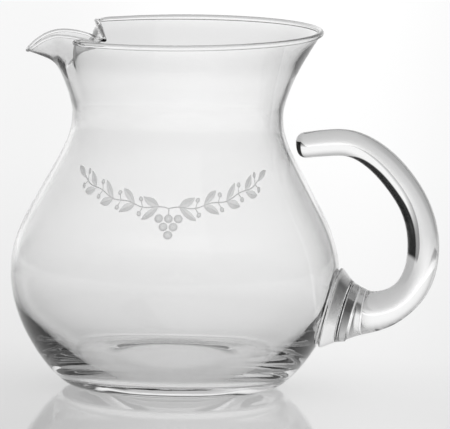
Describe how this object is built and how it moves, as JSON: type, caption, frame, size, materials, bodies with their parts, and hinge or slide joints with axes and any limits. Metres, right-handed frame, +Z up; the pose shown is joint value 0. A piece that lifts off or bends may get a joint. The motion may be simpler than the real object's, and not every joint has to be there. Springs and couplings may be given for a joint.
{
  "type": "cocktail pitcher",
  "caption": "Clear glass cocktail pitcher with a round belly, narrow neck, flared rim, pinched pouring lip and a solid open-ended glass handle on a pad",
  "frame": {"origin": "on the vessel's own axis, in the plane of the ring it stands on", "axes": "+Z up along the vessel's axis; +X from the axis to the handle, so the pouring lip points to -X; +Y completes the right-handed frame"},
  "size_m": [0.1957, 0.15, 0.1645],
  "materials": {
    "vessel_glass": "clear blown glass, gloss, fire-polished rim, fine engraved sprig on the shoulder",
    "pad_glass": "clear solid glass, gloss",
    "handle_glass": "clear solid glass rod, gloss"
  },
  "bodies": {
    "root": {"vessel": "vessel_glass", "handle_pad": "pad_glass", "handle": "handle_glass"}
  },
  "joints": []
}
